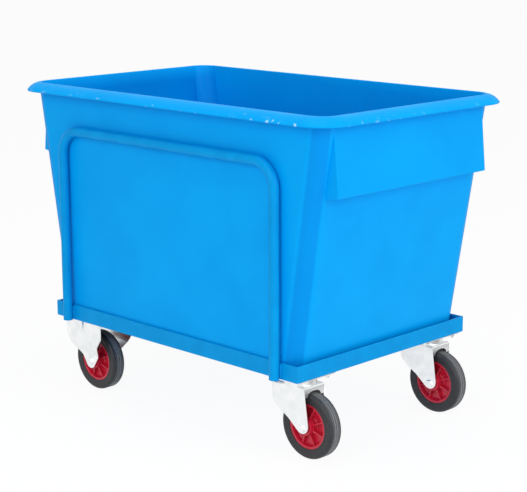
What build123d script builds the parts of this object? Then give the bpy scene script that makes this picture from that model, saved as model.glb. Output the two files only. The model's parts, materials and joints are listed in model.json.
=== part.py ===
from build123d import *
import math
import os

# Wheeled bin: a tapered plastic tub that stands in a welded angle-iron frame on two swivel castors and
# two fixed ones, with a bent tube handle on one long side. Millimetres, +Z up, floor at z = 0.
# The origin is on the floor under the middle of the rim. The handle side faces -Y.

os.makedirs("parts", exist_ok=True)

# Wheel and castor
wheel_diameter = 160.0
castor_height = 202.0
trail = 38.0
tyre_width = 38.0
tyre_shoulder_radius = 8.0
tyre_bead_width = 34.0
groove_width = 2.0
groove_depth = 1.6
groove_spacing = 7.0
rim_diameter = 112.0
rim_width = 32.0
rim_lip_radius = 50.0
rim_root_radius = 46.0
web_thickness = 8.0
hub_radius = 20.0
hub_length = 54.0
rib_count = 8
rib_thickness = 4.0
rib_hub_height = 17.0
rib_rim_height = 11.0
sleeve_radius = 9.0
bearing_radius = 13.0
axle_bolt_radius = 6.0
axle_bolt_clearance = 0.25
running_clearance = 0.05

# Castor fork, pressed from sheet
fork_sheet = 3.0
crown_drop = 25.0
crown_half_width = 38.0
crown_lead = 66.0
crown_lead_radius = 28.0
crown_trail_end = 43.0
leg_half_width = 32.0
neck_start = -30.0
neck_end = -7.0
crown_skirt = 32.0
crown_edge_radius = 4.0
skirt_corner_radius = 13.0
leg_tip_radius = 20.0
leg_tip_rise = 7.0
apron_drop = 23.0
apron_bend_radius = 5.0
arch_height = 14.0
arch_half_width = 24.0

# Fixed castor fork, pressed from sheet with its top plate in one
fixed_wall_drop = 71.0
fixed_waist_drop = 105.0
fixed_waist_half_width = 31.0
fixed_shoulder_drop = 46.0
fixed_tip_radius = 18.0
fixed_bend_radius = 6.0

# Castor top plate, its ball race and king pin
plate_length = 140.0
plate_width = 110.0
plate_thickness = 4.0
plate_corner_radius = 10.0
plate_bolt_length = 105.0
plate_bolt_width = 80.0
race_radius = 34.0
race_depth = 9.0
dish_radius = 38.0
dish_lip = 3.0
race_gap = 0.3
king_pin_radius = 9.0
king_nut_radius = 16.0
king_nut_height = 7.0
king_head_recess = 0.5

# Frame of angle iron
frame_length = 888.0
frame_width = 626.0
angle_leg = 40.0
angle_thickness = 4.0
angle_root_radius = 4.0
angle_toe_radius = 2.0
swivel_inset_x = 59.0
fixed_inset_x = 89.0
castor_inset_y = 73.0
pad_margin = 8.0
pad_reach = 135.0

# Fasteners
screw_radius = 4.0
screw_hole_clearance = 0.25
screw_head_radius = 8.0
screw_length = 20.0
nut_across_flats = 13.0
nut_height = 7.0
tub_screw_inset_x = 80.0
tub_screw_inset_y = 158.0
tub_washer_radius = 15.0
tub_washer_thickness = 2.0
tub_screw_tail = 4.0
hex_chamfer_share = 0.12
axle_head_across_flats = 18.0
axle_head_height = 7.0
axle_nut_height = 9.0
axle_bolt_tail = 3.0

# Handle, one bent tube
handle_tube_radius = 12.5
handle_tube_wall = 2.0
handle_spacing = 764.0
handle_height = 510.0
handle_bend_radius = 62.5
weld_start = 3.0
weld_end = 13.0
weld_depth = 5.0

# Tub, one moulding
tub_wall = 5.0
tub_floor = 6.0
tub_height = 620.0
tub_end_gap = 15.5
tub_side_gap = 3.0
tub_end_draft = 8.83
tub_side_draft = 0.70
tub_base_corner_radius = 45.0
tub_top_corner_radius = 48.0
tub_base_edge_radius = 22.0
lip_width = 38.0
lip_drop = 21.0
lip_root = 6.0
grip_half_width = 272.0
grip_top_drop = 37.0
grip_bottom_drop = 187.0
grip_depth = 38.0
grip_underside_rise = 6.0
grip_edge_radius = 5.0

# Heights worked out from the sizes above
wheel_radius = wheel_diameter / 2
frame_bottom = castor_height
ledge_top = frame_bottom + angle_thickness
tub_top = ledge_top + tub_height
lip_low = tub_top - lip_drop
crown_top = frame_bottom - crown_drop
screw_hole_radius = screw_radius + screw_hole_clearance
plate_bottom = frame_bottom - plate_thickness
tub_base_length = frame_length - 2 * (angle_thickness + tub_end_gap)
tub_base_width = frame_width - 2 * (angle_thickness + tub_side_gap)
axle_reach = leg_half_width + axle_nut_height + axle_bolt_tail

# Castors: corner signs, and whether the castor swivels or is fixed
castors = {
    "front": (1, -1, "swivel"),
    "right": (1, 1, "swivel"),
    "left": (-1, -1, "fixed"),
    "rear": (-1, 1, "fixed"),
}


def save(shape, name):
    shape.label = name
    export_step(shape, f"parts/{name}.step")


def group(solids):
    return Compound(children=[s for part in solids for s in part.solids()])


def block(x0, x1, y0, y1, z0, z1):
    corner = (Align.MIN, Align.MIN, Align.MIN)
    return Pos(x0, y0, z0) * Box(x1 - x0, y1 - y0, z1 - z0, align=corner)


def rod(radius, z0, z1):
    return Pos(0, 0, z0) * Cylinder(radius, z1 - z0, align=(Align.CENTER, Align.CENTER, Align.MIN))


def cross_rod(radius, y0, y1):
    return Rot(-90, 0, 0) * rod(radius, y0, y1)


# Hexagon bar with its corners turned off at both ends
def hexagon(across_flats, z0, z1):
    bar = Pos(0, 0, z0) * extrude(RegularPolygon(across_flats / math.sqrt(3), 6), z1 - z0)
    turned = rod(across_flats / math.sqrt(3) + 0.01, z0, z1)
    return bar & chamfer(turned.edges().filter_by(GeomType.CIRCLE), across_flats * hex_chamfer_share)


# Tub half sizes at a height
def tub_half_length(z):
    return tub_base_length / 2 + (z - ledge_top) * math.tan(math.radians(tub_end_draft))


def tub_half_width(z):
    return tub_base_width / 2 + (z - ledge_top) * math.tan(math.radians(tub_side_draft))


def tub_corner_radius(z):
    share = (z - ledge_top) / tub_height
    return tub_base_corner_radius + (tub_top_corner_radius - tub_base_corner_radius) * share


def tub_section(z, inset):
    length = 2 * (tub_half_length(z) - inset)
    width = 2 * (tub_half_width(z) - inset)
    return Pos(0, 0, z) * RectangleRounded(length, width, tub_corner_radius(z) - inset)


def tapered_box(z0, z1, inset, edge_radius):
    body = loft([tub_section(z0, inset).face(), tub_section(z1, inset).face()], ruled=True)
    bottom = body.faces().sort_by(Axis.Z)[0]
    return fillet(bottom.edges(), edge_radius)


# Moulded grip: a wedge on each end wall that leaves a ledge under it for the fingers
def grip_wedge(inset):
    top = tub_top - grip_top_drop
    bottom = tub_top - grip_bottom_drop + inset
    under = bottom - grip_underside_rise
    root = 2 * tub_wall
    outline = Polyline(
        (tub_half_length(top) - inset, top),
        (tub_half_length(bottom) + grip_depth - inset, bottom),
        (tub_half_length(under) - inset, under),
        (tub_half_length(under) - root - inset, under),
        (tub_half_length(top) - root - inset, top),
        close=True,
    )
    side = Plane.XZ * make_face(outline)
    wedge = extrude(side, grip_half_width - inset, both=True)
    outer_edges = wedge.edges().filter_by(lambda e: e.center().X > tub_half_length(bottom) + grip_depth / 4)
    rounding = max(grip_edge_radius - inset / 2, 1.0)
    return fillet(outer_edges, rounding)


def both_ends(shape):
    return shape + mirror(shape, about=Plane.YZ)


# Rolled lip: an arch section swept round the mouth
def tub_lip():
    inner_x = tub_half_length(tub_top) - tub_wall
    inner_y = tub_half_width(tub_top) - tub_wall
    corner = tub_corner_radius(tub_top) - tub_wall
    arch = (lip_width**2 + lip_drop**2) / (2 * lip_drop)
    sweep_angle = math.asin(lip_width / arch)

    def on_arch(radius, angle):
        return (inner_x + radius * math.sin(angle), tub_top - arch + radius * math.cos(angle))

    thin = arch - tub_wall
    root_angle = math.asin(tub_wall / thin)
    outline = [
        ThreePointArc(on_arch(arch, 0), on_arch(arch, sweep_angle / 2), on_arch(arch, sweep_angle)),
        Line(on_arch(arch, sweep_angle), on_arch(thin, sweep_angle)),
        ThreePointArc(
            on_arch(thin, sweep_angle),
            on_arch(thin, (sweep_angle + root_angle) / 2),
            on_arch(thin, root_angle),
        ),
        Polyline(
            on_arch(thin, root_angle),
            (inner_x + tub_wall, tub_top - tub_wall - lip_root),
            (inner_x, tub_top - tub_wall - lip_root),
            (inner_x, tub_top),
        ),
    ]
    section = Plane.XZ * make_face(Curve() + outline)
    straight_x = inner_x - corner
    straight_y = inner_y - corner
    path = Curve() + [
        Line((inner_x, 0), (inner_x, straight_y)),
        CenterArc((straight_x, straight_y), corner, 0, 90),
        Line((straight_x, inner_y), (-straight_x, inner_y)),
        CenterArc((-straight_x, straight_y), corner, 90, 90),
        Line((-inner_x, straight_y), (-inner_x, -straight_y)),
        CenterArc((-straight_x, -straight_y), corner, 180, 90),
        Line((-straight_x, -inner_y), (straight_x, -inner_y)),
        CenterArc((straight_x, -straight_y), corner, 270, 90),
        Line((inner_x, -straight_y), (inner_x, 0)),
    ]
    return sweep(section, path=Pos(0, 0, tub_top) * path.wire())


def tub_screw_places():
    x = frame_length / 2 - tub_screw_inset_x
    y = frame_width / 2 - tub_screw_inset_y
    return [(sx * x, sy * y) for sx in (-1, 1) for sy in (-1, 1)]


def make_tub():
    outer = tapered_box(ledge_top, tub_top - tub_wall, 0, tub_base_edge_radius)
    outer = outer + both_ends(grip_wedge(0))
    inner = tapered_box(ledge_top + tub_floor, tub_top, tub_wall, tub_base_edge_radius - tub_wall)
    inner = inner + both_ends(grip_wedge(tub_wall))
    tub = outer - inner + tub_lip()
    for x, y in tub_screw_places():
        tub = tub - screw_hole(x, y, ledge_top, ledge_top + tub_floor)
    return tub


# Angle-iron section with its corner at the origin, upright leg outside and flat leg at the bottom
def angle_section():
    outline = Polyline(
        (0, 0),
        (angle_leg, 0),
        (angle_leg, angle_thickness),
        (angle_thickness, angle_thickness),
        (angle_thickness, angle_leg),
        (0, angle_leg),
        close=True,
    )
    face = make_face(outline)
    root = face.vertices().sort_by_distance((angle_thickness, angle_thickness))[0]
    face = fillet(root, angle_root_radius)
    flat_toe = face.vertices().sort_by_distance((angle_leg, angle_thickness))[0]
    face = fillet(flat_toe, angle_toe_radius)
    upright_toe = face.vertices().sort_by_distance((angle_thickness, angle_leg))[0]
    return fillet(upright_toe, angle_toe_radius)


# A fixed castor's plate lies along the wheel, a swivel castor's plate lies across it
def castor_place(name):
    sign_x, sign_y, kind = castors[name]
    inset_x = swivel_inset_x if kind == "swivel" else fixed_inset_x
    return sign_x * (frame_length / 2 - inset_x), sign_y * (frame_width / 2 - castor_inset_y)


def plate_size(kind):
    return (plate_width, plate_length) if kind == "swivel" else (plate_length, plate_width)


def plate_bolts(kind):
    pattern = (plate_bolt_width, plate_bolt_length)
    dx, dy = pattern if kind == "swivel" else reversed(pattern)
    return [(sx * dx / 2, sy * dy / 2) for sx in (-1, 1) for sy in (-1, 1)]


def plate_bolt_places(name):
    x, y = castor_place(name)
    return [(x + dx, y + dy) for dx, dy in plate_bolts(castors[name][2])]


def countersink(top):
    cone_height = screw_head_radius - screw_radius
    cone = Cone(screw_radius, screw_head_radius, cone_height, align=(Align.CENTER, Align.CENTER, Align.MAX))
    return Pos(0, 0, top) * cone


def screw_hole(x, y, bottom, top):
    return Pos(x, y, 0) * (rod(screw_hole_radius, bottom - 1, top + 1) + countersink(top))


def cut_plate_screws(piece):
    for name in castors:
        for x, y in plate_bolt_places(name):
            piece = piece - screw_hole(x, y, frame_bottom, ledge_top)
    return piece


# Straight length of angle along X on the -Y side, mitred at both ends
def mitred_rail(length, width):
    profile = Plane((-length / 2, -width / 2, frame_bottom), x_dir=(0, 1, 0), z_dir=(1, 0, 0))
    bar = extrude(profile * angle_section(), length)
    plan = Polyline(
        (-length / 2, -width / 2),
        (length / 2, -width / 2),
        (length / 2 - angle_leg, -width / 2 + angle_leg),
        (-length / 2 + angle_leg, -width / 2 + angle_leg),
        close=True,
    )
    return bar & (Pos(0, 0, frame_bottom) * extrude(make_face(plan), angle_leg))


def make_castor_pad(name):
    sign_x, sign_y, kind = castors[name]
    x0 = abs(castor_place(name)[0]) - plate_size(kind)[0] / 2 - pad_margin
    x1 = frame_length / 2 - angle_leg
    y1 = frame_width / 2 - angle_leg
    pad = block(x0, x1, y1 - pad_reach, y1, frame_bottom, ledge_top)
    inner_edges = pad.edges().filter_by(Axis.Z).sort_by(Axis.X)[:1]
    pad = fillet(inner_edges, plate_corner_radius)
    if sign_x < 0:
        pad = mirror(pad, about=Plane.YZ)
    if sign_y < 0:
        pad = mirror(pad, about=Plane.XZ)
    pad = cut_plate_screws(pad)
    for x, y in tub_screw_places():
        pad = pad - Pos(x, y, 0) * rod(screw_hole_radius, frame_bottom - 1, ledge_top + 1)
    return pad


def handle_path(base):
    x = handle_spacing / 2
    top = frame_bottom + handle_height
    y = handle_y()
    points = [(-x, y, base), (-x, y, top), (x, y, top), (x, y, base)]
    return FilletPolyline(*points, radius=handle_bend_radius)


def handle_y():
    return -frame_width / 2 - handle_tube_radius


def make_handle():
    path = handle_path(frame_bottom)
    ring = Circle(handle_tube_radius) - Circle(handle_tube_radius - handle_tube_wall)
    start = Plane(origin=path @ 0, z_dir=path % 0)
    return sweep(start * ring, path=path)


# Fillet welds in the two valleys between each handle leg and the rail
def make_handle_welds():
    beads = []
    tube = Pos(0, -handle_tube_radius) * Circle(handle_tube_radius)
    for sign_x in (-1, 1):
        for side in (-1, 1):
            corners = [
                (side * weld_start, 0),
                (side * weld_end, 0),
                (side * (weld_end - weld_start / 2), -weld_depth),
            ]
            outline = make_face(Polyline(*corners, close=True)) - tube
            bead = extrude(outline, angle_leg - 2 * angle_toe_radius)
            place = (sign_x * handle_spacing / 2, -frame_width / 2, frame_bottom + angle_toe_radius)
            beads.append(Pos(*place) * bead)
    return group(beads)


def cut_plate_holes(plate, kind):
    for dx, dy in plate_bolts(kind):
        plate = plate - Pos(dx, dy, 0) * rod(screw_hole_radius, plate_bottom - 1, frame_bottom + 1)
    return plate


def make_castor_plate():
    plate = extrude(RectangleRounded(plate_width, plate_length, plate_corner_radius), plate_thickness)
    plate = Pos(0, 0, plate_bottom) * plate
    race_outline = Polyline(
        (0, plate_bottom),
        (race_radius, plate_bottom),
        (race_radius - race_depth / 3, plate_bottom - race_depth),
        (0, plate_bottom - race_depth),
        close=True,
    )
    plate = plate + revolve(Plane.XZ * make_face(race_outline), axis=Axis.Z)
    plate = plate - rod(king_pin_radius, plate_bottom - race_depth - 1, frame_bottom + 1)
    return cut_plate_holes(plate, "swivel")


def make_king_pin():
    crown_bottom = crown_top - fork_sheet
    shank = rod(king_pin_radius, crown_bottom, frame_bottom - king_head_recess)
    collar = rod(king_nut_radius, crown_bottom - king_nut_height, crown_bottom)
    pin = shank + collar
    return chamfer(pin.faces().sort_by(Axis.Z)[0].edges(), 2.0)


# Plan of the fork: wide round crown over the race, necking down to the legs beside the wheel
def fork_plan(inset):
    wide = crown_half_width - inset
    narrow = leg_half_width - inset
    lead = -crown_lead + inset
    open_end = trail + 2 * leg_tip_radius + inset
    points = [(lead, -wide), (neck_start, -wide), (neck_end, -narrow), (open_end, -narrow)]
    outline = Polyline(*points, *[(x, -y) for x, y in reversed(points)], close=True)
    face = make_face(outline)
    corners = face.vertices().group_by(Axis.X)[0]
    return fillet(corners, crown_lead_radius - inset)


# Where a straight edge from a corner touches the round leg tip, on the leading (-1) or trailing (1) side
def tip_touch(corner, tip, side):
    to_tip = (tip[0] - corner[0], tip[1] - corner[1])
    distance = math.hypot(*to_tip)
    heading = math.atan2(to_tip[1], to_tip[0]) + side * math.asin(leg_tip_radius / distance)
    run = math.sqrt(distance**2 - leg_tip_radius**2)
    return corner[0] + run * math.cos(heading), corner[1] + run * math.sin(heading)


# Side outline of the fork: short skirt in front, straight edges down to a round tip about the axle
def fork_side():
    tip = (trail, wheel_radius + leg_tip_rise)
    skirt = (-crown_lead, crown_top - crown_skirt)
    bend = (crown_trail_end, crown_top)
    leading, trailing = tip_touch(skirt, tip, -1), tip_touch(bend, tip, 1)
    face = make_face(Polyline((-crown_lead, crown_top), skirt, leading, tip, trailing, bend, close=True))
    face = fillet(face.vertices().sort_by_distance(skirt)[0], skirt_corner_radius)
    face = fillet(face.vertices().sort_by_distance(bend)[0], apron_bend_radius)
    return face + Pos(*tip) * Circle(leg_tip_radius)


def axle_hole():
    return cross_rod(axle_bolt_radius + axle_bolt_clearance, -axle_reach, axle_reach)


def make_fork():
    bottom = wheel_radius - leg_tip_radius
    depth = crown_top - bottom
    side = extrude(Plane.XZ * fork_side(), crown_half_width + 1, both=True)
    outer = Pos(0, 0, bottom) * extrude(fork_plan(0), depth)
    outer = fillet(outer.faces().sort_by(Axis.Z)[-1].edges(), crown_edge_radius)
    inner = Pos(0, 0, bottom - 1) * extrude(fork_plan(fork_sheet), depth - fork_sheet + 1)
    inner = fillet(inner.faces().sort_by(Axis.Z)[-1].edges(), crown_edge_radius - fork_sheet)
    fork = ((outer - inner) & side) + (make_apron() & outer & side)
    dish = rod(dish_radius, crown_top, plate_bottom - race_depth - race_gap)
    lip_outer = rod(dish_radius + dish_lip, crown_top, plate_bottom - race_depth / 2)
    lip_inner = rod(dish_radius, crown_top, plate_bottom)
    fork = fork + dish + (lip_outer - lip_inner)
    bore = rod(king_pin_radius + running_clearance, bottom, frame_bottom)
    return fork - bore - Pos(trail, 0, wheel_radius) * axle_hole()


# Short wall that closes the crown behind the swivel, arched to clear the tyre
def make_apron():
    low = crown_top - apron_drop
    wall = block(crown_trail_end - fork_sheet, crown_trail_end, -leg_half_width, leg_half_width, low, crown_top)
    arch = Plane.YZ * (Pos(0, low) * Ellipse(arch_half_width, arch_height))
    return wall - extrude(arch, crown_trail_end + 1)


# Cross section of the fixed fork: plate on top, upright walls, then in to the hub
def fixed_fork_section(inset):
    half_plate = plate_width / 2 - inset
    half_leg = leg_half_width - inset
    top = frame_bottom - inset
    bottom = wheel_radius - fixed_tip_radius - inset
    side = [
        (half_plate, top),
        (half_plate, frame_bottom - fixed_wall_drop),
        (half_leg, frame_bottom - fixed_waist_drop),
        (half_leg, bottom),
    ]
    face = make_face(Polyline(*side, *[(-y, z) for y, z in reversed(side)], close=True))
    corners = face.vertices().group_by(Axis.Y)[-1]
    return fillet(corners, fixed_bend_radius - inset)


# Side outline of the fixed fork: full width under the plate, waisted, round about the axle
def fixed_fork_side():
    axle = (0, wheel_radius)
    half = plate_length / 2
    waist = (fixed_waist_half_width, frame_bottom - fixed_waist_drop)
    tip = (fixed_tip_radius, wheel_radius)
    side = [(half, frame_bottom), (half, frame_bottom - fixed_shoulder_drop), waist, tip]
    face = make_face(Polyline(*side, *[(-x, z) for x, z in reversed(side)], close=True))
    for x, z in (side[1], waist):
        corners = [face.vertices().sort_by_distance((sign * x, z))[0] for sign in (-1, 1)]
        face = fillet(corners, fixed_tip_radius)
    return face + Pos(*axle) * Circle(fixed_tip_radius)


def make_fixed_fork():
    run = plate_length / 2
    outer = extrude(Plane.YZ * fixed_fork_section(0), run, both=True)
    inner = extrude(Plane.YZ * fixed_fork_section(fork_sheet), run + 1, both=True)
    side = extrude(Plane.XZ * fixed_fork_side(), plate_width, both=True)
    return cut_plate_holes((outer - inner) & side, "fixed") - Pos(0, 0, wheel_radius) * axle_hole()


def make_axle_sleeve():
    reach = leg_half_width - fork_sheet
    return cross_rod(sleeve_radius, -reach, reach) - axle_hole()


def make_axle_bolt():
    shank = cross_rod(axle_bolt_radius, -leg_half_width, axle_reach)
    head = Rot(-90, 0, 0) * hexagon(axle_head_across_flats, -leg_half_width - axle_head_height, -leg_half_width)
    return shank + head


def make_axle_nut():
    nut = Rot(-90, 0, 0) * hexagon(axle_head_across_flats, leg_half_width, leg_half_width + axle_nut_height)
    return nut - cross_rod(axle_bolt_radius, -axle_reach, axle_reach)


def make_roller_bearing():
    half = hub_length / 2
    bore = sleeve_radius + running_clearance
    return cross_rod(bearing_radius, -half, half) - cross_rod(bore, -half - 1, half + 1)


def make_wheel_centre():
    half_rim = rim_width / 2
    half_hub = hub_length / 2
    half_web = web_thickness / 2
    rim_radius = rim_diameter / 2
    outline = Polyline(
        (bearing_radius, -half_hub),
        (hub_radius, -half_hub),
        (hub_radius + 2, -half_web),
        (rim_root_radius, -half_web),
        (rim_lip_radius, -half_rim),
        (rim_radius, -half_rim),
        (rim_radius, half_rim),
        (rim_lip_radius, half_rim),
        (rim_root_radius, half_web),
        (hub_radius + 2, half_web),
        (hub_radius, half_hub),
        (bearing_radius, half_hub),
        close=True,
    )
    centre = revolve(make_face(outline), axis=Axis.Y)
    rib_outline = Polyline(
        (hub_radius - 2, -rib_hub_height),
        (rim_lip_radius + 2, -rib_rim_height),
        (rim_lip_radius + 2, rib_rim_height),
        (hub_radius - 2, rib_hub_height),
        close=True,
    )
    rib = extrude(make_face(rib_outline), rib_thickness / 2, both=True)
    for index in range(rib_count):
        centre = centre + Rot(0, 360.0 * (index + 0.5) / rib_count, 0) * rib
    return centre


def make_tyre():
    half = tyre_width / 2
    bead = tyre_bead_width / 2
    bead_radius = rim_diameter / 2
    outline = Polyline(
        (bead_radius, -bead),
        (wheel_radius - tyre_shoulder_radius, -half),
        (wheel_radius, -half),
        (wheel_radius, half),
        (wheel_radius - tyre_shoulder_radius, half),
        (bead_radius, bead),
        close=True,
    )
    face = make_face(outline)
    for side in (-1, 1):
        shoulder = face.vertices().sort_by_distance((wheel_radius, side * half))[0]
        face = fillet(shoulder, tyre_shoulder_radius * 0.95)
    for index in (-1, 0, 1):
        groove = Pos(wheel_radius, index * groove_spacing) * Rectangle(2 * groove_depth, groove_width)
        face = face - groove
    return revolve(face, axis=Axis.Y)


def make_plate_screws(name):
    screws = []
    for x, y in plate_bolt_places(name):
        screw = rod(screw_radius, ledge_top - screw_length, ledge_top) + countersink(ledge_top)
        screws.append(Pos(x, y, 0) * screw)
    return group(screws)


def make_plate_nuts(name):
    nuts = []
    for x, y in plate_bolt_places(name):
        nut = hexagon(nut_across_flats, plate_bottom - nut_height, plate_bottom)
        nuts.append(Pos(x, y, 0) * (nut - rod(screw_radius, 0, plate_bottom + 1)))
    return group(nuts)


# The tub is held by flush screws through its floor, with washers and nuts under the castor pads
def make_tub_fixings():
    floor_top = ledge_top + tub_floor
    washer_low = frame_bottom - tub_washer_thickness
    nut_low = washer_low - nut_height
    screws, washers, nuts = [], [], []
    for x, y in tub_screw_places():
        place = Pos(x, y, 0)
        screws.append(place * (rod(screw_radius, nut_low - tub_screw_tail, floor_top) + countersink(floor_top)))
        washer = rod(tub_washer_radius, washer_low, frame_bottom)
        washers.append(place * (washer - rod(screw_hole_radius, nut_low, ledge_top)))
        nut = hexagon(nut_across_flats, nut_low, washer_low)
        nuts.append(place * (nut - rod(screw_radius, 0, ledge_top)))
    return group(screws), group(washers), group(nuts)


# Frame and tub
save(make_tub(), "tub")
long_rail = mitred_rail(frame_length, frame_width)
end_rail = Rot(0, 0, 90) * mitred_rail(frame_width, frame_length)
save(cut_plate_screws(long_rail), "long_rail_handle_side")
save(cut_plate_screws(Rot(0, 0, 180) * long_rail), "long_rail_far_side")
save(cut_plate_screws(end_rail), "end_rail_right")
save(cut_plate_screws(Rot(0, 0, 180) * end_rail), "end_rail_left")
save(make_handle(), "handle_bow")
save(make_handle_welds(), "handle_welds")
tub_screws, tub_washers, tub_nuts = make_tub_fixings()
save(tub_screws, "tub_screws")
save(tub_washers, "tub_washers")
save(tub_nuts, "tub_nuts")

# Castors
castor_plate = make_castor_plate()
king_pin = make_king_pin()
swivel_fork = make_fork()
fixed_fork = make_fixed_fork()
axle_parts = {
    "axle_sleeve": make_axle_sleeve(),
    "axle_bolt": make_axle_bolt(),
    "axle_nut": make_axle_nut(),
    "roller_bearing": make_roller_bearing(),
    "wheel_centre": make_wheel_centre(),
    "tyre": make_tyre(),
}
for castor, (_, _, kind) in castors.items():
    place = Pos(*castor_place(castor), 0)
    save(make_castor_pad(castor), f"castor_pad_{castor}")
    save(make_plate_screws(castor), f"plate_screws_{castor}")
    save(make_plate_nuts(castor), f"plate_nuts_{castor}")
    axle = place * Pos(0, 0, wheel_radius)
    if kind == "swivel":
        save(place * castor_plate, f"castor_plate_{castor}")
        save(place * king_pin, f"king_pin_{castor}")
        save(place * swivel_fork, f"fork_{castor}")
        axle = axle * Pos(trail, 0, 0)
    else:
        save(place * fixed_fork, f"fork_{castor}")
    for part_name, shape in axle_parts.items():
        save(axle * shape, f"{part_name}_{castor}")
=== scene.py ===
"""Looks of the wheeled bin: a moulded tub in an enamelled angle-iron frame on four zinc castors."""
import json
import logging
import math
from dataclasses import dataclass
from enum import Enum
from typing import Any, Iterable, Sequence

import bmesh
import bpy
from bmesh.types import BMEdge, BMesh, BMFace, BMVert
from mathutils import Matrix, Vector


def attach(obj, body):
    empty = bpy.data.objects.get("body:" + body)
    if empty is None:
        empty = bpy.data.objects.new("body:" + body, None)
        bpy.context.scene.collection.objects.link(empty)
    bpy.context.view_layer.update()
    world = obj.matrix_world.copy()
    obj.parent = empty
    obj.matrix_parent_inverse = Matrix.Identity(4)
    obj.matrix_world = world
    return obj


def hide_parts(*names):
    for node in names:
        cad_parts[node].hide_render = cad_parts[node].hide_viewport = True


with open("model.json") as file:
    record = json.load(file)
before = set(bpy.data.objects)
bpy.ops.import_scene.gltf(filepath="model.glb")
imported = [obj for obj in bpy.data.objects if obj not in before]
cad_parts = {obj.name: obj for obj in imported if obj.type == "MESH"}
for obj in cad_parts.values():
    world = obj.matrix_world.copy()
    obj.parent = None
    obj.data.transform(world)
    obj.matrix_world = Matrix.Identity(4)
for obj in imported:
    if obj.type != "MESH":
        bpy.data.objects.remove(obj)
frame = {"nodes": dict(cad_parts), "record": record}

log = logging.getLogger("bin")

MM = 0.001
FRAME_BOTTOM = 202.0
ANGLE_THICKNESS = 4.0
LEDGE = FRAME_BOTTOM + ANGLE_THICKNESS
FRAME_HALF_LENGTH = 444.0
FRAME_HALF_WIDTH = 313.0
CARRIED_BODY = "bin"
# Points nearer than this to each other or to a cutting plane touch, in mm.
TOUCHING = 0.001
# Heights and depths nearer than this count as the same, in mm.
NEAR = 0.1
FULL_TURN = 360.0

Point = tuple[float, float, float]
Rounding = tuple[Sequence[int], float, int]
Tree = bpy.types.NodeTree
Socket = bpy.types.NodeSocket


class Corner(Enum):
    """The four castor corners: name, sign along X and sign along Y."""

    FRONT = ("front", 1, -1)
    RIGHT = ("right", 1, 1)
    LEFT = ("left", -1, -1)
    REAR = ("rear", -1, 1)

    @property
    def label(self) -> str:
        """Name of the corner as the node names use it."""
        return self.value[0]

    @property
    def swivels(self) -> bool:
        """True for the two castors that turn under the frame."""
        return self.value[1] > 0

    @property
    def fork_body(self) -> str:
        """Body that the fork rides on."""
        return f"swivel_{self.label}" if self.swivels else CARRIED_BODY

    @property
    def wheel_body(self) -> str:
        """Body that the wheel rides on."""
        return f"wheel_{self.label}"

    def place(self, reach_x: float, reach_y: float, height: float = 0.0) -> Vector:
        """A point at this corner.

        Args:
            reach_x: distance from the middle along X, in mm.
            reach_y: distance from the middle along Y, in mm.
            height: height above the floor, in mm.

        Returns:
            The point in mm.
        """
        return Vector((self.value[1] * reach_x, self.value[2] * reach_y, height))


def linear(code: str) -> tuple[float, float, float, float]:
    """Turns an sRGB hex colour to linear light.

    Args:
        code: six hex digits after a hash.

    Returns:
        Red, green, blue and alpha for a colour socket.
    """
    channels = [int(code[i : i + 2], 16) / 255 for i in (1, 3, 5)]
    curve = [c / 12.92 if c <= 0.04045 else ((c + 0.055) / 1.055) ** 2.4 for c in channels]
    return curve[0], curve[1], curve[2], 1.0


def add_node(tree: Tree, kind: str, inputs: dict[Any, Any] | None = None, **settings: Any) -> bpy.types.Node:
    """Adds a shader node with its settings and links.

    Args:
        tree: node tree of the material or the world.
        kind: the node's type name, without the ShaderNode before it.
        inputs: input name or number to a value or to another node's output socket.
        **settings: attributes set on the node itself.

    Returns:
        The new node.
    """
    node = tree.nodes.new(f"ShaderNode{kind}")
    for key, value in settings.items():
        setattr(node, key, value)
    for key, value in (inputs or {}).items():
        if isinstance(value, Socket):
            tree.links.new(value, node.inputs[key])
        else:
            node.inputs[key].default_value = value
    return node


def blank_tree(owner: bpy.types.Material | bpy.types.World) -> Tree:
    """Empties the node tree of a material or the world.

    Args:
        owner: the material or the world.

    Returns:
        Its empty tree.
    """
    owner.use_nodes = True
    owner.node_tree.nodes.clear()
    return owner.node_tree


def patches(
    tree: Tree, place: Socket, size_mm: float, detail: float, low: float, high: float, most: float = 1.0
) -> Socket:
    """Draws cloudy patches of a real size.

    Args:
        tree: the material's node tree.
        place: object coordinates.
        size_mm: size of the patches.
        detail: how many layers of finer clouds lie in them.
        low: density at which a patch begins.
        high: density at which it is full.
        most: value of a full patch.

    Returns:
        A value from 0 to most.
    """
    clouds = {"Vector": place, "Scale": 1.0 / (size_mm * MM), "Detail": detail}
    density = add_node(tree, "TexNoise", clouds).outputs["Fac"]
    band = {"Value": density, "From Min": low, "From Max": high, "To Max": most}
    return add_node(tree, "MapRange", band).outputs["Result"]


def ends_of(edges: Iterable[BMEdge]) -> list[BMVert]:
    """Every point that edges end in, once."""
    return list({vert for edge in edges for vert in edge.verts})


def rise_of(edge: BMEdge) -> float:
    """How much higher one end of an edge is than the other."""
    return abs(edge.verts[0].co.z - edge.verts[1].co.z)


def mirrored(half: Sequence[tuple[float, float]]) -> list[tuple[float, float]]:
    """The other half of a section, from the far end back to the start."""
    return [(first, -second) for first, second in reversed(half)]


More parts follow.
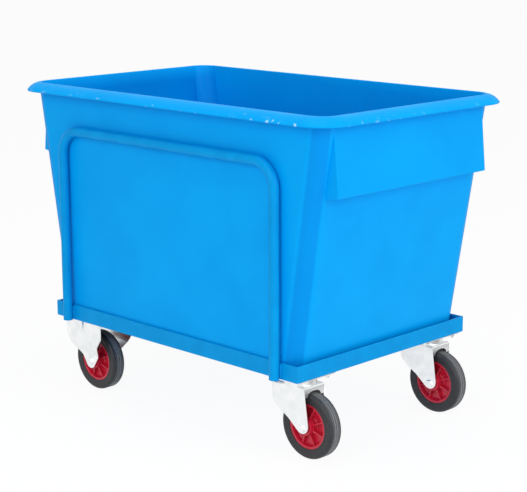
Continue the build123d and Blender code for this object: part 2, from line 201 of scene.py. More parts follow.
@dataclass(frozen=True)
class Finish:
    """A surface: its colour, its shine and the texture that the making left on it."""

    name: str
    colour: str
    shade: str
    roughness: float
    metallic: float = 0.0
    specular: float = 0.5
    cloud_mm: float = 60.0
    grain_mm: float = 1.2
    grain_depth_mm: float = 0.05
    shine_swing: float = 0.06

    def make(self) -> bpy.types.Material:
        """Builds the material: two tones and a varying shine in soft clouds, fine grain, and marks on top.

        Returns:
            The finished material.
        """
        material = bpy.data.materials.new(self.name)
        tree = blank_tree(material)
        place = add_node(tree, "TexCoord").outputs["Object"]
        cloud = patches(tree, place, self.cloud_mm, 3.0, 0.3, 0.7)
        tones = {0: cloud, 6: linear(self.colour), 7: linear(self.shade)}
        tint = add_node(tree, "Mix", tones, data_type="RGBA").outputs[2]
        low, high = self.roughness - self.shine_swing, self.roughness + self.shine_swing
        shine = add_node(tree, "MapRange", {"Value": cloud, "To Min": low, "To Max": high})
        fine = {"Vector": place, "Scale": 1.0 / (self.grain_mm * MM), "Detail": 2.0}
        grain = add_node(tree, "TexNoise", fine).outputs["Fac"]
        relief = add_node(tree, "Bump", {"Height": grain, "Distance": self.grain_depth_mm * MM})
        surface = {
            "Base Color": self.marks(tree, place, tint),
            "Metallic": self.metallic,
            "Roughness": shine.outputs["Result"],
            "Specular IOR Level": self.specular,
            "Normal": relief.outputs["Normal"],
        }
        shader = add_node(tree, "BsdfPrincipled", surface)
        add_node(tree, "OutputMaterial", {"Surface": shader.outputs["BSDF"]})
        return material

    def marks(self, tree: Tree, place: Socket, colour: Socket) -> Socket:
        """Marks laid over the colour. A plain finish has none.

        Args:
            tree: the material's node tree.
            place: object coordinates.
            colour: the colour so far.

        Returns:
            The colour with the marks on it.
        """
        return colour


@dataclass(frozen=True)
class MouldedPolyethylene(Finish):
    """Polyethylene from a heated mould: waxy, faintly rippled, scuffed pale where it is knocked."""

    scuff: str = "#A9DCF4"
    scuff_mm: float = 14.0
    # Deeper blue painted inside the tub as shade, where the inner walls stay out of the light.
    painted_shade: str = "#0068C8"
    painted_shade_share: float = 0.4

    def marks(self, tree: Tree, place: Socket, colour: Socket) -> Socket:
        """Pale scuffs where the tub is knocked and, inside, a deeper blue of painted shade, by the mesh's
        attributes.

        Args:
            tree: the material's node tree.
            place: object coordinates.
            colour: the plain plastic's colour.

        Returns:
            The scuffed colour.
        """
        wear = add_node(tree, "Attribute", attribute_name="wear").outputs["Fac"]
        spots = patches(tree, place, self.scuff_mm, 6.0, 0.63, 0.70)
        amount = add_node(tree, "Math", {0: wear, 1: spots}, operation="MULTIPLY").outputs["Value"]
        over = {0: amount, 6: colour, 7: linear(self.scuff)}
        scuffed = add_node(tree, "Mix", over, data_type="RGBA").outputs[2]
        # The inside takes the deeper blue: painted shade.
        inside = add_node(tree, "Attribute", attribute_name="inside").outputs["Fac"]
        painted_shade = add_node(tree, "Math", {0: inside, 1: self.painted_shade_share}, operation="MULTIPLY")
        deeper = {0: painted_shade.outputs["Value"], 6: scuffed, 7: linear(self.painted_shade)}
        return add_node(tree, "Mix", deeper, data_type="RGBA").outputs[2]


@dataclass(frozen=True)
class ZincPlate(Finish):
    """Bright zinc on pressed steel: silver and cloudy, with fine drawing lines from the press."""

    streak_mm: float = 1.6

    def marks(self, tree: Tree, place: Socket, colour: Socket) -> Socket:
        """Darker upright streaks, ten times as long as wide and coarser than the real drawing lines.

        Args:
            tree: the material's node tree.
            place: object coordinates.
            colour: the plain zinc's colour.

        Returns:
            The streaked colour.
        """
        stretched = add_node(tree, "Mapping", {"Vector": place, "Scale": (1.0, 1.0, 0.1)})
        amount = patches(tree, stretched.outputs["Vector"], self.streak_mm, 3.0, 0.45, 0.75, 0.25)
        over = {0: amount, 6: colour, 7: linear(self.shade)}
        return add_node(tree, "Mix", over, data_type="RGBA").outputs[2]


@dataclass(frozen=True)
class VulcanisedRubber(Finish):
    """Black rubber from a steel mould: dull, with a pale dusty bloom in its finest pores."""

    bloom: str = "#77797B"
    bloom_mm: float = 1.1

    def marks(self, tree: Tree, place: Socket, colour: Socket) -> Socket:
        """Bloom in the pores, drawn coarser than they are, and a dusted, paler tread by the mesh's
        attribute, which is also a painted highlight on the tread's faces.

        Args:
            tree: the material's node tree.
            place: object coordinates.
            colour: the plain rubber's colour.

        Returns:
            The dusty colour.
        """
        # Pale tread: dusted rubber, and a painted highlight on the tread's faces.
        dust_and_highlight = add_node(tree, "Attribute", attribute_name="dust_and_highlight").outputs["Fac"]
        pores = patches(tree, place, self.bloom_mm, 2.0, 0.55, 0.9, 0.25)
        amount = add_node(tree, "Math", {0: dust_and_highlight, 1: pores}, operation="MAXIMUM").outputs["Value"]
        over = {0: amount, 6: colour, 7: linear(self.bloom)}
        return add_node(tree, "Mix", over, data_type="RGBA").outputs[2]


class Look:
    """All the finishes of the bin, each made once."""

    def __init__(self) -> None:
        """Makes every material."""
        # Linear polyethylene from a heated mould: saturated blue, soft waxy shine, long faint ripples.
        self.tub = MouldedPolyethylene(
            "moulded_polyethylene", "#00A4F0", "#009DEA", 0.42, specular=0.05,
            cloud_mm=160.0, grain_mm=2.4, grain_depth_mm=0.04,
        ).make()
        # Stoved enamel sprayed on steel: a little darker and harder than the tub, with orange peel.
        self.enamel = Finish(
            "stoved_blue_enamel", "#0097DC", "#008FD4", 0.36, specular=0.06,
            cloud_mm=45.0, grain_mm=3.0, grain_depth_mm=0.05,
        ).make()
        # Bright zinc plate on pressed steel: cool silver with cloudy passivation.
        self.zinc = ZincPlate(
            "bright_zinc_plate", "#FAFBFB", "#EDF0F1", 0.34, metallic=1.0,
            cloud_mm=22.0, grain_mm=0.9, grain_depth_mm=0.008, shine_swing=0.05,
        ).make()
        # Turned and ground steel: darker and finer than the plated parts.
        self.steel = Finish(
            "ground_steel", "#A9ADB0", "#989C9F", 0.28, metallic=1.0,
            cloud_mm=5.0, grain_mm=0.5, grain_depth_mm=0.01,
        ).make()
        # Nylon injected into a polished mould: deep red, glossy on the faces.
        self.nylon = Finish(
            "moulded_red_nylon", "#CE1F3D", "#BE1833", 0.30,
            cloud_mm=25.0, grain_mm=0.9, grain_depth_mm=0.015,
        ).make()
        # Vulcanised rubber: near black, dull, with a faint bloom.
        self.rubber = VulcanisedRubber(
            "vulcanised_rubber", "#26272A", "#303134", 0.5, specular=0.4,
            cloud_mm=18.0, grain_mm=0.8, grain_depth_mm=0.03, shine_swing=0.08,
        ).make()


def dress(obj: bpy.types.Object, material: bpy.types.Material) -> None:
    """Gives an object one material all over.

    Args:
        obj: the object.
        material: the material for all its slots.
    """
    if not obj.material_slots:
        obj.data.materials.append(material)
    for slot in obj.material_slots:
        slot.material = material


class Shape:
    """A mesh in the making, in millimetres."""

    def __init__(self) -> None:
        """Starts an empty mesh."""
        self.mesh: BMesh = bmesh.new()

    def outline(self, points: Iterable[Point], rounding: Sequence[Rounding] = ()) -> list[BMFace]:
        """Draws a flat closed outline and rounds its corners.

        Args:
            points: the corners in order.
            rounding: groups of corner numbers, each with its radius and number of segments.

        Returns:
            The outline's face.
        """
        before = set(self.mesh.faces)
        verts = [self.mesh.verts.new(p) for p in points]
        self.mesh.faces.new(verts)
        for corners, radius, segments in rounding:
            bmesh.ops.bevel(
                self.mesh, geom=[verts[i] for i in corners], offset=radius, offset_type="OFFSET",
                segments=segments, profile=0.5, affect="VERTICES", clamp_overlap=False, material=-1,
            )
        return [face for face in self.mesh.faces if face not in before]

    def wire(self, points: Iterable[Point], rounding: Sequence[Rounding] = ()) -> list[BMEdge]:
        """Draws a closed outline as edges alone.

        Args:
            points: the corners in order.
            rounding: as outline takes it.

        Returns:
            The edges.
        """
        faces = self.outline(points, rounding)
        edges = list({edge for face in faces for edge in face.edges})
        bmesh.ops.delete(self.mesh, geom=faces, context="FACES_ONLY")
        return edges

    def circle(self, radius: float, centre: Point, steps: int) -> list[BMEdge]:
        """Draws a level circle.

        Args:
            radius: its radius.
            centre: its centre.
            steps: its number of edges.

        Returns:
            The edges.
        """
        verts = bmesh.ops.create_circle(self.mesh, segments=steps, radius=radius, cap_ends=False)["verts"]
        bmesh.ops.translate(self.mesh, verts=verts, vec=Vector(centre))
        return list({edge for vert in verts for edge in vert.link_edges})

    def pull(self, edges: Iterable[BMEdge], step: Point) -> list[BMEdge]:
        """Extrudes edges along a straight step.

        Args:
            edges: the edges.
            step: the way they move.

        Returns:
            The edges at the far side.
        """
        grown = bmesh.ops.extrude_edge_only(self.mesh, edges=list(edges))["geom"]
        verts = {g for g in grown if isinstance(g, BMVert)}
        bmesh.ops.translate(self.mesh, verts=list(verts), vec=Vector(step))
        return [g for g in grown if isinstance(g, BMEdge) and verts.issuperset(g.verts)]

    def turn(
        self, edges: Iterable[BMEdge], centre: Point, axis: Point, degrees: float, steps: int
    ) -> list[BMEdge]:
        """Spins edges about an axis.

        Args:
            edges: the edges.
            centre: a point on the axis.
            axis: the axis's direction.
            degrees: how far they turn.
            steps: number of steps.

        Returns:
            The edges at the far side.
        """
        chosen = list(edges)
        made = bmesh.ops.spin(
            self.mesh, geom=[*ends_of(chosen), *chosen], cent=Vector(centre), axis=Vector(axis),
            angle=math.radians(degrees), steps=steps, use_merge=degrees == FULL_TURN, use_duplicate=False,
        )
        return [g for g in made["geom_last"] if isinstance(g, BMEdge)]

    def shrink(self, edges: Iterable[BMEdge], share: float, centre: Sequence[float]) -> None:
        """Scales edges about an upright axis.

        Args:
            edges: the edges.
            share: the scale along X and Y.
            centre: a point on the axis.
        """
        axis = Matrix.Translation((-centre[0], -centre[1], 0))
        bmesh.ops.scale(self.mesh, verts=ends_of(edges), vec=Vector((share, share, 1)), space=axis)

    def ease(self, edges: Iterable[BMEdge], size: float, segments: int = 2) -> None:
        """Rounds edges over.

        Args:
            edges: the edges.
            size: the radius.
            segments: steps over the rounding.
        """
        bmesh.ops.bevel(
            self.mesh, geom=list(edges), offset=size, offset_type="OFFSET", segments=segments,
            profile=0.5, affect="EDGES", clamp_overlap=True, material=-1,
        )

    def cut(self, point: Point, normal: Point, clear: bool = True) -> None:
        """Cuts the mesh by a plane.

        Args:
            point: a point on the plane.
            normal: the plane's normal, towards the side that goes.
            clear: False to keep both sides, joined.
        """
        geometry = [*self.mesh.verts, *self.mesh.edges, *self.mesh.faces]
        bmesh.ops.bisect_plane(
            self.mesh, geom=geometry, dist=TOUCHING, plane_co=Vector(point), plane_no=Vector(normal),
            clear_outer=clear,
        )

    def merge(self, distance: float = 0.01) -> None:
        """Merges doubled points and turns every face outwards.

        Args:
            distance: points nearer than this become one.
        """
        bmesh.ops.remove_doubles(self.mesh, verts=self.mesh.verts, dist=distance)
        bmesh.ops.recalc_face_normals(self.mesh, faces=self.mesh.faces)

    def shell(self, thickness: float) -> None:
        """Gives an open sheet its thickness, inwards.

        Args:
            thickness: the sheet's thickness.
        """
        self.merge()
        bmesh.ops.solidify(self.mesh, geom=self.mesh.faces, thickness=-thickness)
        bmesh.ops.recalc_face_normals(self.mesh, faces=self.mesh.faces)

    def sharp_edges(self, degrees: float) -> list[BMEdge]:
        """Edges that turn more than an angle.

        Args:
            degrees: the angle.

        Returns:
            The edges.
        """
        limit = math.radians(degrees)
        return [e for e in self.mesh.edges if e.is_manifold and e.calc_face_angle(0.0) > limit]

    def finish(
        self, name: str, body: str, material: bpy.types.Material, slot: str,
        stands_for: Sequence[str] = (), place: Vector = Vector(), sharp_degrees: float = 32.0,
    ) -> None:
        """Turns the mesh into an object that rides on a body.

        Args:
            name: the object's name.
            body: the body it rides on.
            material: its finish.
            slot: the record's material slot; not used.
            stands_for: CAD nodes that it replaces.
            place: where the mesh's own origin goes, in mm.
            sharp_degrees: edges that turn more than this stay crisp.
        """
        bmesh.ops.translate(self.mesh, verts=self.mesh.verts, vec=place)
        bmesh.ops.scale(self.mesh, vec=Vector((MM, MM, MM)), verts=self.mesh.verts)
        data = bpy.data.meshes.new(name)
        self.mesh.to_mesh(data)
        self.mesh.free()
        for polygon in data.polygons:
            polygon.use_smooth = True
        data.set_sharp_from_angle(angle=math.radians(sharp_degrees))
        obj = bpy.data.objects.new(name, data)
        bpy.context.scene.collection.objects.link(obj)
        normals = obj.modifiers.new("flat_faces_stay_flat", "WEIGHTED_NORMAL")
        normals.keep_sharp = True
        dress(obj, material)
        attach(obj, body)
        if stands_for:
            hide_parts(*stands_for)
        log.info("%s: %d faces on %s", name, len(data.polygons), body)


@dataclass
class Tub:
    """The moulded tub: one skin of even thickness with a rolled lip and a grip pressed out of each end."""

    base_length: float = 849.0
    base_width: float = 612.0
    height: float = 620.0
    wall: float = 5.0
    floor_extra: float = 1.0
    floor_within: float = 0.3
    end_draft: float = 8.83
    side_draft: float = 0.70
    corner_radius: float = 47.0
    corner_steps: int = 12
    base_edge: float = 22.0
    base_edge_steps: int = 6
    lip_width: float = 38.0
    lip_drop: float = 21.0
    lip_steps: int = 9
    mouth_edge: float = 3.0
    lip_edge: float = 2.0
    edge_steps: int = 3
    grip_half_width: float = 272.0
    grip_top_drop: float = 37.0
    grip_bottom_drop: float = 187.0
    grip_underside: float = 6.0
    grip_depth: float = 38.0
    grip_edge: float = 5.0
    grip_edge_steps: int = 4
    grip_merge: float = 0.05
    grip_turn: float = 20.0
    grip_clear: float = 2.0
    end_wall_area: float = 500.0
    mouth_turn: float = 35.0
    lip_reach: float = 6.0
    lip_level: float = 0.5
    inside_from: float = 1.0
    inside_drop: float = 8.0
    wear_from: float = 28.0
    knocked_corner: tuple[float, float] = (300.0, -200.0)
    knocked_wear: float = 0.9
    even_wear: float = 0.2
    sharp_degrees: float = 40.0

    @property
    def top(self) -> float:
        """Height of the lip's crest."""
        return LEDGE + self.height

    @property
    def lip_radius(self) -> float:
        """Radius of the lip's arch."""
        return (self.lip_width**2 + self.lip_drop**2) / (2 * self.lip_drop)

    @property
    def lip_end(self) -> float:
        """Angle from the lip's crest to its rim, in radians."""
        return math.asin(self.lip_width / self.lip_radius)

    @property
    def lip_start(self) -> float:
        """Height at which the wall's outside turns into the lip's underside."""
        under = self.lip_radius - self.wall
        return self.top - self.lip_radius + math.sqrt(under**2 - self.wall**2)

    def lip_underside(self, angle: float) -> float:
        """Height of the lip's underside at an angle from its crest."""
        return self.top - self.lip_radius + (self.lip_radius - self.wall) * math.cos(angle)

    def half_length(self, height: float) -> float:
        """Half length of the outer skin at a height."""
        return self.base_length / 2 + (height - LEDGE) * math.tan(math.radians(self.end_draft))

    def half_width(self, height: float) -> float:
        """Half width of the outer skin at a height."""
        return self.base_width / 2 + (height - LEDGE) * math.tan(math.radians(self.side_draft))

    def outward(self, point: Vector) -> Vector:
        """Level direction that leads straight away from the rounded mouth.

        Args:
            point: a point on the lip.

        Returns:
            The direction, one long.
        """
        straight_x = self.half_length(self.top) - self.corner_radius
        straight_y = self.half_width(self.top) - self.corner_radius
        beyond_x = max(abs(point.x) - straight_x, 0.0)
        beyond_y = max(abs(point.y) - straight_y, 0.0)
        return Vector((math.copysign(beyond_x, point.x), math.copysign(beyond_y, point.y), 0.0)).normalized()

    def raise_walls(self, shape: Shape) -> None:
        """Draws the floor and pulls the four tapered walls up from it.

        Args:
            shape: the mesh in the making.
        """
        x, y = self.base_length / 2, self.base_width / 2
        floor = shape.outline([(-x, -y, LEDGE), (x, -y, LEDGE), (x, y, LEDGE), (-x, y, LEDGE)])
        rim = shape.pull(floor[0].edges, (0, 0, self.lip_start - LEDGE))
        spread = (self.half_length(self.top) / x, self.half_width(self.top) / y, 1.0)
        bmesh.ops.scale(shape.mesh, verts=ends_of(rim), vec=Vector(spread))
        upright = [e for e in shape.mesh.edges if rise_of(e) > self.height / 2]
        shape.ease(upright, self.corner_radius, self.corner_steps)
        bottom = [e for e in shape.mesh.edges if all(v.co.z < LEDGE + NEAR for v in e.verts)]
        shape.ease(bottom, self.base_edge, self.base_edge_steps)

    def press_grips(self, shape: Shape) -> None:
        """Pushes a wedge out of each end wall, with a ledge under it for the fingers.

        Args:
            shape: the mesh in the making.
        """
        top = self.top - self.grip_top_drop
        crest = self.top - self.grip_bottom_drop
        root = crest - self.grip_underside
        end = self.base_length / 2 - self.corner_radius
        reach = self.half_length(crest) + self.grip_depth - self.half_length(root)
        levels = [((0, 0, root), (0, 0, 1)), ((0, 0, top), (0, 0, 1))]
        sides = [((0, sign * self.grip_half_width, 0), (0, 1, 0)) for sign in (-1, 1)]
        for point, normal in levels + sides:
            walls = [
                f for f in shape.mesh.faces
                if abs(f.calc_center_median().x) > end and f.calc_area() > self.end_wall_area
            ]
            geometry = {*walls, *(e for f in walls for e in f.edges), *(v for f in walls for v in f.verts)}
            bmesh.ops.bisect_plane(
                shape.mesh, geom=list(geometry), dist=TOUCHING, plane_co=Vector(point),
                plane_no=Vector(normal),
            )
        bmesh.ops.recalc_face_normals(shape.mesh, faces=shape.mesh.faces)
        chosen = []
        for face in shape.mesh.faces:
            centre = face.calc_center_median()
            if root < centre.z < top and abs(centre.y) < self.grip_half_width and abs(centre.x) > end:
                chosen.append(face)
        grown = bmesh.ops.extrude_face_region(shape.mesh, geom=chosen)["geom"]
        for vert in (g for g in grown if isinstance(g, BMVert)):
            share = (top - vert.co.z) / (top - root)
            if vert.co.z < crest:
                vert.co.z += self.grip_underside
            vert.co.x += math.copysign(reach * share, vert.co.x)
        bmesh.ops.delete(shape.mesh, geom=[f for f in chosen if f.is_valid], context="FACES")
        shape.merge(self.grip_merge)
        outer = []
        for edge in shape.sharp_edges(self.grip_turn):
            middle = (edge.verts[0].co + edge.verts[1].co) / 2
            if root < middle.z < top and abs(middle.x) > self.half_length(middle.z) + self.grip_clear:
                outer.append(edge)
        shape.ease(outer, self.grip_edge, self.grip_edge_steps)

    def roll_lip(self, shape: Shape) -> None:
        """Rolls the rim outwards and down over an arch.

        Args:
            shape: the mesh in the making.
        """
        rim = [e for e in shape.mesh.edges if e.is_boundary]
        under = self.lip_radius - self.wall
        start, end = math.asin(self.wall / under), self.lip_end
        reached, level = 0.0, self.lip_start
        for step in range(1, self.lip_steps + 1):
            angle = start + (end - start) * step / self.lip_steps
            out = under * math.sin(angle) - self.wall
            height = self.lip_underside(angle)
            rim = shape.pull(rim, (0, 0, height - level))
            for vert in ends_of(rim):
                vert.co += self.outward(vert.co) * (out - reached)
            reached, level = out, height

    def build(self, look: Look) -> None:
        """Builds the tub.

        Args:
            look: the finishes.
        """
        shape = Shape()
        self.raise_walls(shape)
        self.press_grips(shape)
        self.roll_lip(shape)
        shape.shell(self.wall)
        for vert in shape.mesh.verts:
            if abs(vert.co.z - LEDGE - self.wall) < self.floor_within:
                vert.co.z += self.floor_extra
        self.round_mouth(shape)
        self.mark_wear_and_painted_shade(shape)
        shape.finish(
            "tub_skin", CARRIED_BODY, look.tub, "tub_plastic", ["tub"], sharp_degrees=self.sharp_degrees
        )

    def round_mouth(self, shape: Shape) -> None:
        """Rounds the mouth's inner edge and the two edges of the lip's rim.

        Args:
            shape: the mesh in the making.
        """
        lip_low = self.lip_underside(self.lip_end)
        mouth, edge_of_lip = [], []
        for edge in shape.sharp_edges(self.mouth_turn):
            heights = [v.co.z for v in edge.verts]
            if min(heights) > self.top - self.wall / 2:
                mouth.append(edge)
            elif abs(sum(heights) / 2 - lip_low) < self.lip_reach and rise_of(edge) < self.lip_level:
                edge_of_lip.append(edge)
        shape.ease(mouth, self.mouth_edge, self.edge_steps)
        shape.ease([e for e in edge_of_lip if e.is_valid], self.lip_edge, self.edge_steps)

    def mark_wear_and_painted_shade(self, shape: Shape) -> None:
        """Marks the lip's outer edge as worn, most of all at the front corner, and the inside for a deeper
        blue of painted shade.

        Args:
            shape: the mesh in the making.
        """
        wear = shape.mesh.verts.layers.float.new("wear")
        inside = shape.mesh.verts.layers.float.new("inside")
        mouth = self.half_width(self.top) - self.wall
        for vert in shape.mesh.verts:
            reach_x = self.half_length(vert.co.z) - self.wall / 2
            reach_y = self.half_width(vert.co.z) - self.wall / 2
            within = abs(vert.co.x) < reach_x and abs(vert.co.y) < reach_y
            deep = LEDGE + self.inside_from < vert.co.z < self.top - self.inside_drop
            # Points inside the walls take the deeper blue of painted shade.
            vert[inside] = 1.0 if within and deep else 0.0
            if vert.co.z < self.top - self.lip_drop - self.wall:
                continue
            out = max(abs(vert.co.y) - mouth, abs(vert.co.x) - self.half_length(self.top) + self.wall)
            knocked = vert.co.x > self.knocked_corner[0] and vert.co.y < self.knocked_corner[1]
            amount = self.knocked_wear if knocked else self.even_wear
            vert[wear] = amount if out > self.wear_from else 0.0


@dataclass
class Handle:
    """The bent tube on the long side, with the welds that join its legs to the rail."""

    spacing: float = 764.0
    height: float = 510.0
    bend: float = 62.5
    radius: float = 12.5
    wall: float = 2.0
    bore_shown: float = 40.0
    steps_round: int = 28
    steps_bend: int = 16
    bead_radius: float = 3.2
    bead_offset: float = 10.2
    bead_pitch: float = 2.4
    bead_low: float = 205.0
    bead_high: float = 239.0
    bead_gap: float = 1.0
    bead_end: float = 0.5
    bead_valley: float = 0.82
    bead_steps: int = 12

    @property
    def depth(self) -> float:
        """Y of the tube's centre line."""
        return -FRAME_HALF_WIDTH - self.radius

    def build(self, look: Look) -> None:
        """Builds the tube and its welds.

        Args:
            look: the finishes.
        """
        self.build_tube().finish("handle_tube", CARRIED_BODY, look.enamel, "frame_paint", ["handle_bow"])
        self.build_welds().finish(
            "handle_weld_beads", CARRIED_BODY, look.enamel, "frame_paint", ["handle_welds"]
        )

    def build_tube(self) -> Shape:
        """Draws the tube along its legs, bends and top, with both open ends.

        Returns:
            The mesh.
        """
        shape = Shape()
        x, bottom, top = self.spacing / 2, FRAME_BOTTOM, FRAME_BOTTOM + self.height
        ring = shape.circle(self.radius, (-x, self.depth, bottom), self.steps_round)
        first = list(ring)
        straight = self.height - self.bend
        for side, step in ((-1, (0, 0, straight)), (1, (2 * (x - self.bend), 0, 0))):
            ring = shape.pull(ring, step)
            centre = (side * (x - self.bend), self.depth, top - self.bend)
            ring = shape.turn(ring, centre, (0, 1, 0), 90.0, self.steps_bend)
        ring = shape.pull(ring, (0, 0, -straight))
        for edges, side in ((first, -1), (ring, 1)):
            lip = shape.pull(edges, (0, 0, 0))
            shape.shrink(lip, 1 - self.wall / self.radius, (side * x, self.depth))
            shape.pull(lip, (0, 0, self.bore_shown))
        shape.merge(TOUCHING)
        return shape

    def build_welds(self) -> Shape:
        """Lays a rippled bead in each valley between a leg and the rail.

        Returns:
            The mesh.
        """
        shape = Shape()
        for leg in (-1, 1):
            for side in (-1, 1):
                x = leg * self.spacing / 2 + side * self.bead_offset
                self.lay_bead(shape, (x, -FRAME_HALF_WIDTH - self.bead_gap, self.bead_low))
        return shape

    def lay_bead(self, shape: Shape, start: Point) -> None:
        """Draws one weld bead upwards, a ripple for each drop of metal.

        Args:
            shape: the mesh in the making.
            start: the bead's lower end.
        """
        first = ring = shape.circle(self.bead_radius * self.bead_end, start, self.bead_steps)
        size = self.bead_end
        count = 2 * int((self.bead_high - self.bead_low) / self.bead_pitch)
        for step in range(1, count + 1):
            ring = shape.pull(ring, (0, 0, self.bead_pitch / 2))
            wanted = self.bead_end if step == count else (1.0 if step % 2 else self.bead_valley)
            shape.shrink(ring, wanted / size, start)
            size = wanted
        for edges in (first, ring):
            bmesh.ops.contextual_create(shape.mesh, geom=edges)
        bmesh.ops.recalc_face_normals(shape.mesh, faces=shape.mesh.faces)


@dataclass
class Fork:
    """What the two kinds of fork share: sheet steel with legs that are filed round at the axle."""

    place_x: float = 355.0
    place_y: float = 240.0
    sheet: float = 3.0
    leg_half_width: float = 32.0
    wheel_radius: float = 80.0
    tip_steps: int = 9
    bend_steps: int = 4
    sharp_degrees: float = 38.0

    def finish(self, shape: Shape, corner: Corner, look: Look) -> None:
        """Turns the pressed sheet into the fork of one castor.

        Args:
            shape: the mesh.
            corner: the castor's corner.
            look: the finishes.
        """
        shape.finish(
            f"fork_pressing_{corner.label}", corner.fork_body, look.zinc, "zinc_plate",
            [f"fork_{corner.label}"], corner.place(self.place_x, self.place_y), self.sharp_degrees,
        )

    def file_round(
        self, shape: Shape, centre: tuple[float, float], radius: float, start: float, end: float, steps: int
    ) -> None:
        """Cuts the side outline along a round corner, seen along Y.

        Args:
            shape: the mesh in the making.
            centre: x and z of the rounding's centre.
            radius: its radius.
            start: direction of its first tangent point, in degrees from +X towards +Z.
            end: direction of its last tangent point.
            steps: number of cuts between them.
        """
        for step in range(steps + 1):
            angle = math.radians(start + (end - start) * step / steps)
            way = (math.cos(angle), 0.0, math.sin(angle))
            shape.cut((centre[0] + radius * way[0], 0.0, centre[1] + radius * way[2]), way)

    def tangent_angle(
        self, corner: tuple[float, float], centre: tuple[float, float], radius: float, side: int
    ) -> float:
        """Direction from a rounding's centre to where a straight edge from a corner touches it.

        Args:
            corner: x and z of the corner.
            centre: x and z of the rounding's centre.
            radius: the rounding's radius.
            side: 1 for the trailing edge, -1 for the leading edge.

        Returns:
            The direction in degrees.
        """
        dx, dz = corner[0] - centre[0], corner[1] - centre[1]
        angle = math.degrees(math.atan2(dz, dx) - side * math.acos(radius / math.hypot(dx, dz)))
        return angle - FULL_TURN if side < 0 else angle


@dataclass
class SwivelFork(Fork):
    """Pressed fork of a swivel castor: round crown with a short skirt, legs swept back to the axle."""

    place_x: float = 385.0
    trail: float = 38.0
    crown_top: float = 177.0
    crown_half_width: float = 38.0
    crown_lead: float = 66.0
    crown_trail_end: float = 43.0
    lead_radius: float = 28.0
    neck_start: float = -30.0
    neck_end: float = -7.0
    skirt: float = 32.0
    skirt_corner: float = 13.0
    corner_steps: int = 4
    lead_steps: int = 8
    tip_radius: float = 20.0
    tip_rise: float = 7.0
    bend: float = 4.0
    crown_turn: float = 60.0
    crease: float = 1.5
    crease_turn: float = 8.0
    crease_rise: float = 10.0
    apron_drop: float = 23.0
    arch_half_width: float = 24.0
    arch_height: float = 14.0
    arch_steps: int = 24
    dish_radius: float = 38.0
    dish_top: float = 188.7
    dish_lip: float = 3.0
    dish_lip_top: float = 193.5
    dish_edge: float = 1.2
    dish_sink: float = 0.5
    dish_steps: int = 40
    pin_radius: float = 9.05

    def build(self, corner: Corner, look: Look) -> None:
        """Builds the fork of one castor.

        Args:
            corner: the castor's corner.
            look: the finishes.
        """
        shape = Shape()
        self.press_sheet(shape)
        self.add_apron(shape)
        creases = [e for e in shape.sharp_edges(self.crease_turn) if self.is_crease(e)]
        round_crown = [e for e in shape.sharp_edges(self.crown_turn) if self.is_crown_edge(e)]
        shape.ease(round_crown, self.bend, self.bend_steps)
        shape.ease([e for e in creases if e.is_valid], self.crease)
        shape.shell(self.sheet)
        self.turn_dish(shape)
        self.finish(shape, corner, look)

    def is_crown_edge(self, edge: BMEdge) -> bool:
        """True for an edge round the top of the crown."""
        return all(v.co.z > self.crown_top - NEAR for v in edge.verts)

    def is_hem(self, edge: BMEdge) -> bool:
        """True for an edge of the crown behind the legs, where the apron folds down."""
        return self.is_crown_edge(edge) and all(v.co.x > self.crown_trail_end - 2.0 for v in edge.verts)

    def is_crease(self, edge: BMEdge) -> bool:
        """True for one of the upright creases of the neck."""
        in_neck = self.neck_start - 1 < edge.verts[0].co.x < self.neck_end + 1
        return in_neck and rise_of(edge) > self.crease_rise

    def press_sheet(self, shape: Shape) -> None:
        """Draws the crown, folds its walls down and cuts the legs' outline.

        Args:
            shape: the mesh in the making.
        """
        back = self.trail + 2 * self.tip_radius
        half = [
            (-self.crown_lead, -self.crown_half_width),
            (self.neck_start, -self.crown_half_width),
            (self.neck_end, -self.leg_half_width),
            (back, -self.leg_half_width),
        ]
        plan = [(x, y, self.crown_top) for x, y in half + mirrored(half)]
        leading_corners = (0, len(plan) - 1)
        faces = shape.outline(plan, [(leading_corners, self.lead_radius, self.lead_steps)])
        fold = [e for f in faces for e in f.edges if not all(v.co.x > back - NEAR for v in e.verts)]
        shape.pull(fold, (0, 0, -self.crown_top + self.wheel_radius - self.tip_radius))
        tip = (self.trail, self.wheel_radius + self.tip_rise)
        skirt = (-self.crown_lead, self.crown_top - self.skirt)
        trailing = self.tangent_angle((self.crown_trail_end, self.crown_top), tip, self.tip_radius, 1)
        leading = self.tangent_angle(skirt, tip, self.tip_radius, -1)
        self.file_round(shape, tip, self.tip_radius, trailing, leading, self.tip_steps)
        slope = math.radians(leading)
        drop = self.skirt_corner * (1 + math.cos(slope)) / -math.sin(slope)
        centre = (skirt[0] + self.skirt_corner, skirt[1] + drop)
        self.file_round(shape, centre, self.skirt_corner, leading, -180.0, self.corner_steps)

    def add_apron(self, shape: Shape) -> None:
        """Folds the short wall down behind the swivel and cuts its arch over the tyre.

        Args:
            shape: the mesh in the making.
        """
        hem = [e for e in shape.mesh.edges if self.is_hem(e)]
        bmesh.ops.subdivide_edges(shape.mesh, edges=hem, cuts=self.arch_steps - 1)
        low = shape.pull([e for e in shape.mesh.edges if self.is_hem(e)], (0, 0, -self.apron_drop))
        for vert in ends_of(low):
            share = abs(vert.co.y) / self.arch_half_width
            if share < 1.0:
                vert.co.z += self.arch_height * math.sqrt(1.0 - share**2)

    def turn_dish(self, shape: Shape) -> None:
        """Turns the dish of the lower ball race that stands on the crown.

        Args:
            shape: the mesh in the making.
        """
        outer, low = self.dish_radius + self.dish_lip, self.crown_top - self.dish_sink
        section = [
            (self.pin_radius, 0.0, low),
            (outer, 0.0, low),
            (outer, 0.0, self.dish_lip_top),
            (self.dish_radius, 0.0, self.dish_lip_top),
            (self.dish_radius, 0.0, self.dish_top),
            (self.pin_radius, 0.0, self.dish_top),
        ]
        ring = shape.wire(section, [((2, 3), self.dish_edge, 3)])
        shape.turn(ring, (0, 0, 0), (0, 0, 1), FULL_TURN, self.dish_steps)
        shape.merge()


